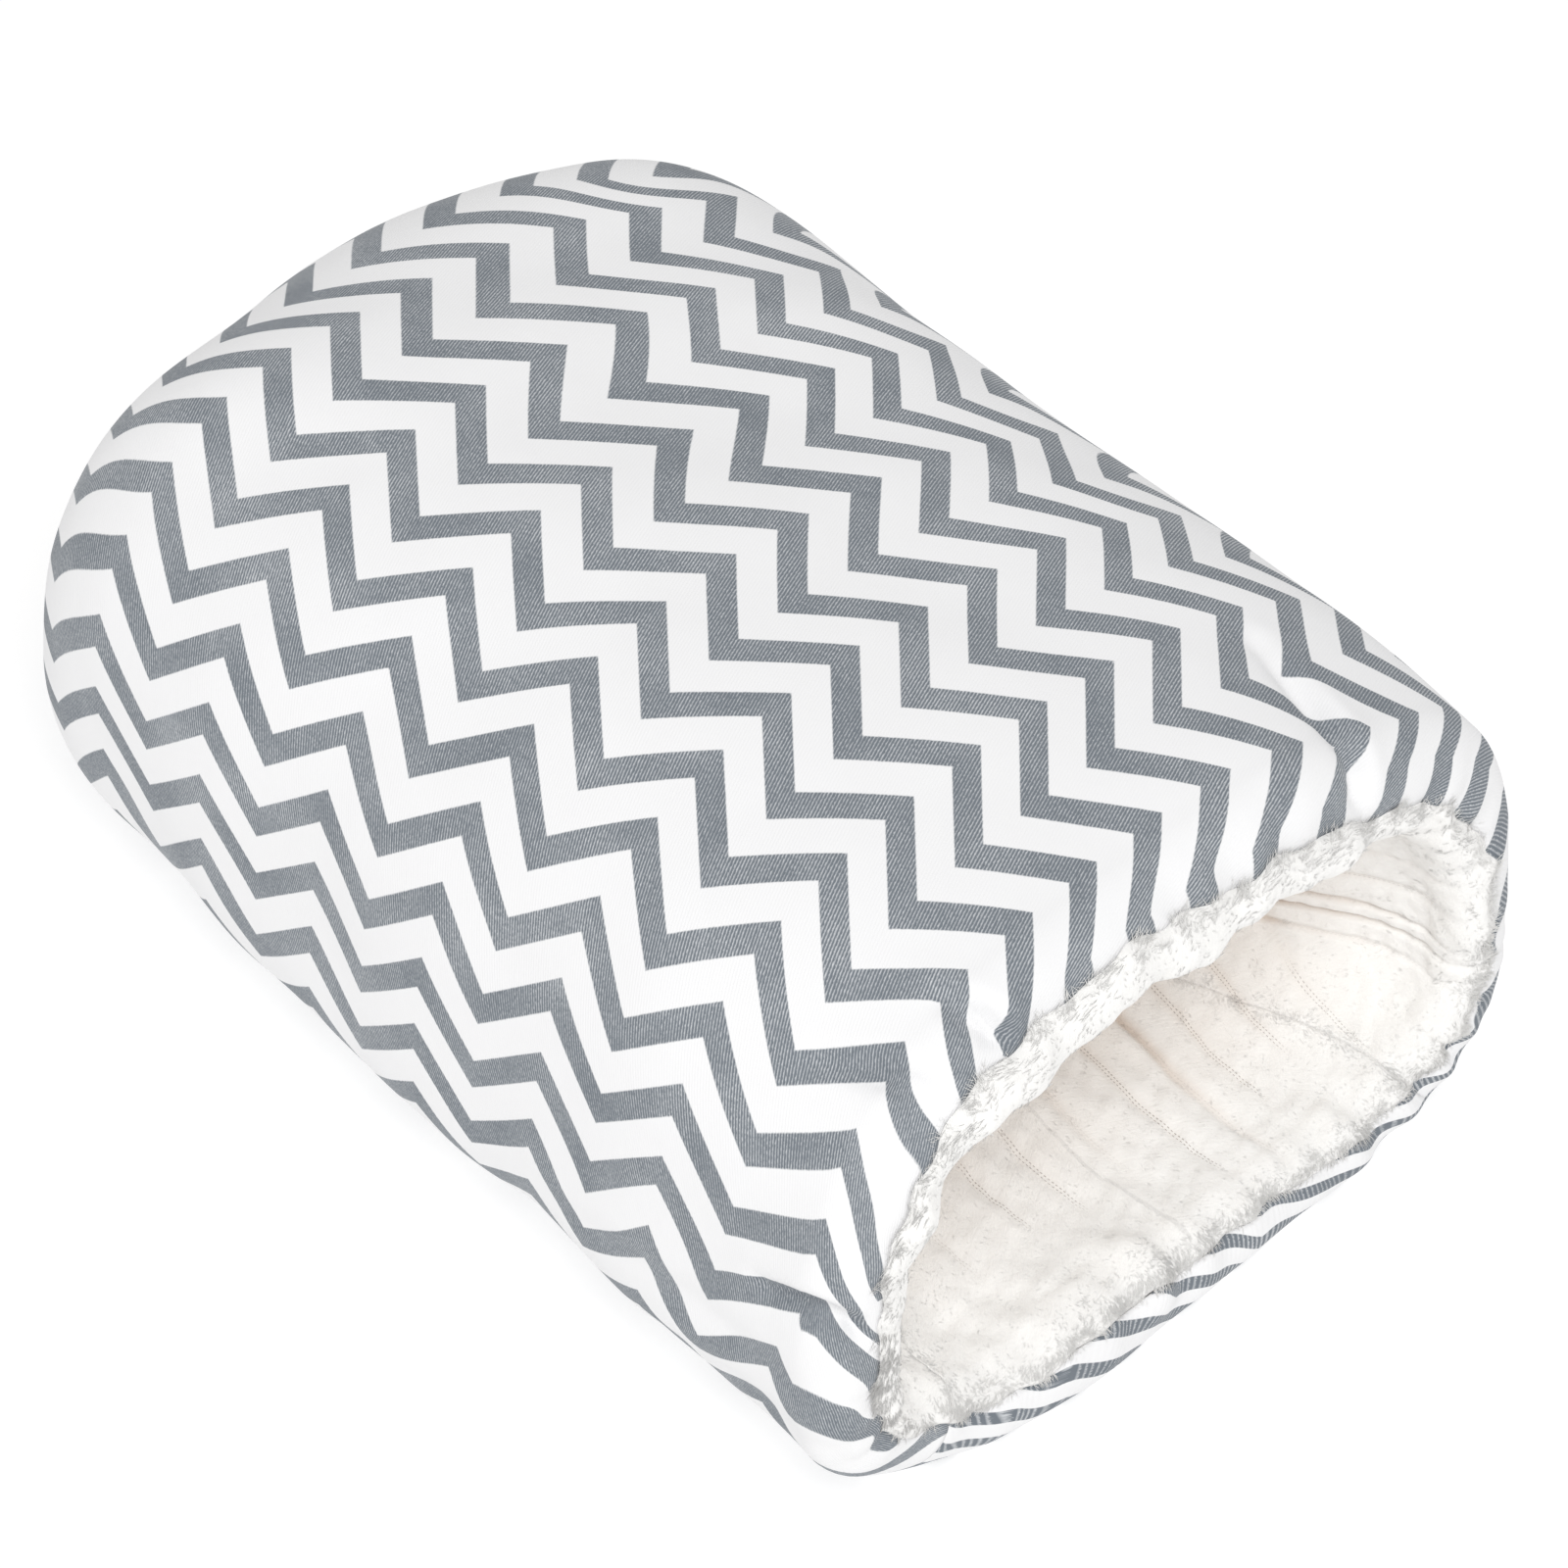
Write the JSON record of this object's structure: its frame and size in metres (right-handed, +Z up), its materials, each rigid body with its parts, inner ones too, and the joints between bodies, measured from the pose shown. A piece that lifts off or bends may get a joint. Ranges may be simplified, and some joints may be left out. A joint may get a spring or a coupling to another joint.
{
  "type": "nursing pillow",
  "caption": "Slip-on arm nursing pillow: a stuffed crowned pad in chevron cotton twill over a plush-lined arm sleeve with a flared mouth and an elasticated cuff.",
  "frame": {"origin": "centre of the bounding box's bottom, on the surface that the pillow rests on", "axes": "+Z up; +Y along the arm tunnel from the flared mouth to the round end with the cuff; +X across the width, to the right when seen from the mouth"},
  "size_m": [0.24, 0.326, 0.142],
  "materials": {
    "chevron_twill": "white cotton twill printed with a mid-grey zigzag, matt with a fine diagonal weave",
    "plush": "cream short-pile plush, soft and matt",
    "fibre_fill": "loose white polyester fibre, hidden",
    "wadding": "thin white polyester wadding, hidden",
    "elastic": "woven white elastic webbing, hidden in the hems"
  },
  "bodies": {
    "root": {"top_cover": "chevron_twill", "underside_cover": "chevron_twill", "lining_upper": "plush", "lining_lower": "plush", "fill_pad": "fibre_fill", "underside_wadding": "wadding", "mouth_elastic": "elastic", "cuff_elastic": "elastic"}
  },
  "joints": []
}
